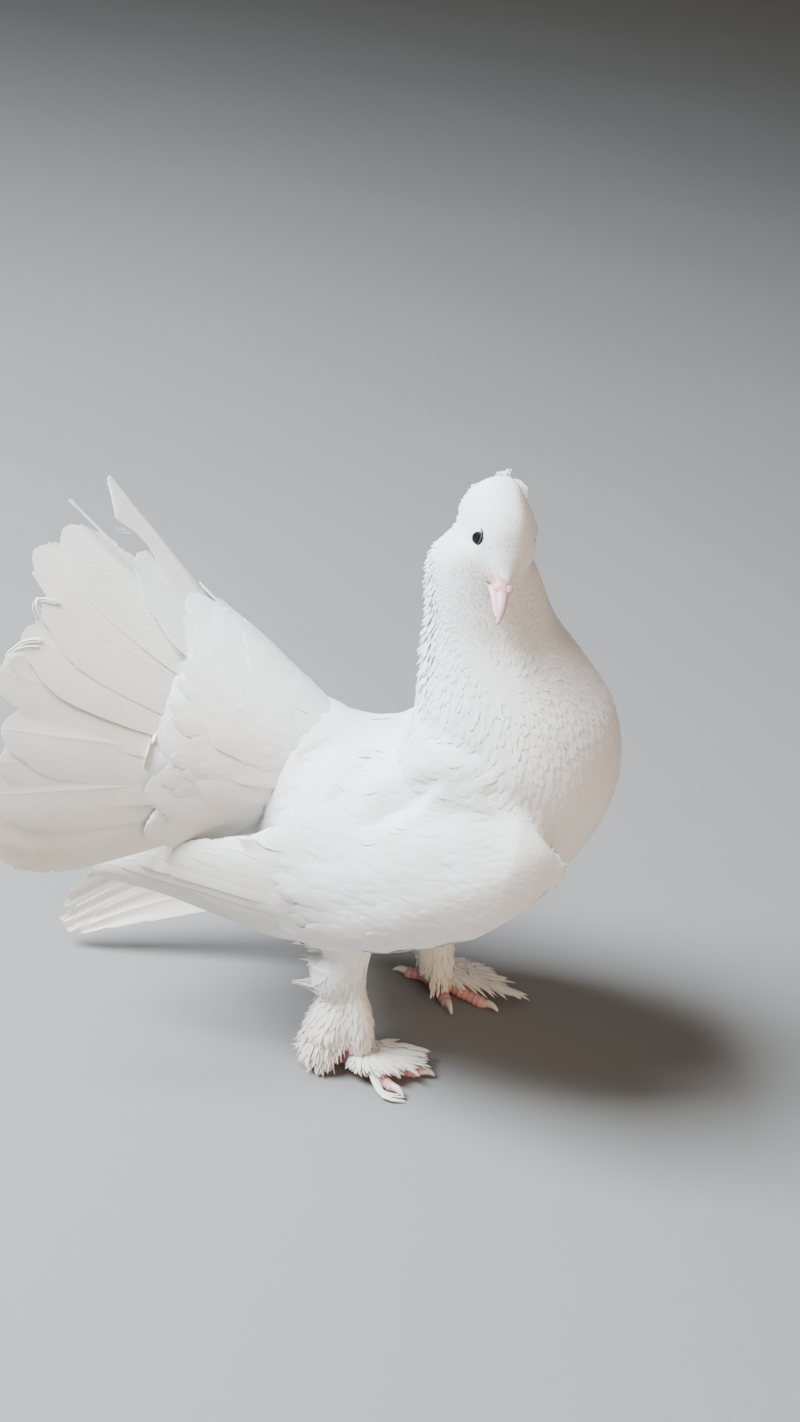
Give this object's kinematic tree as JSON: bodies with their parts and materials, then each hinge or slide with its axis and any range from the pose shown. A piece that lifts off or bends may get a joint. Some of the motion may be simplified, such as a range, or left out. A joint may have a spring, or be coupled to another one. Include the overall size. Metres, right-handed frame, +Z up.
{
  "type": "fantail pigeon",
  "caption": "White fantail pigeon with feathered legs, standing still with its arched tail spread and its head turned over its right side.",
  "frame": {"origin": "on the floor, under the middle of the bird's bounding box", "axes": "+X towards the breast, +Y to the bird's left, +Z up"},
  "size_m": [0.2144, 0.1758, 0.2455],
  "materials": {
    "feathers": "soft white feathers, matt, with a faint sheen on the large vanes",
    "bill_horn": "pale pink horn, slightly glossy towards the tip",
    "eye": "wet, very dark eye",
    "foot_skin": "pink-red scaled skin, mostly covered by white feathers",
    "claw_horn": "pale horn"
  },
  "bodies": {
    "root": {"torso": "feathers", "neck": "feathers", "head": "feathers", "tail": "feathers", "wing_left": "feathers", "wing_right": "feathers", "leg_left": "feathers", "leg_right": "feathers", "foot_left": "foot_skin", "foot_right": "foot_skin", "eye_left": "eye", "eye_right": "eye", "bill_upper": "bill_horn", "bill_lower": "bill_horn", "claw_left_inner": "claw_horn", "claw_left_middle": "claw_horn", "claw_left_outer": "claw_horn", "claw_left_hind": "claw_horn", "claw_right_inner": "claw_horn", "claw_right_middle": "claw_horn", "claw_right_outer": "claw_horn", "claw_right_hind": "claw_horn"}
  },
  "joints": []
}
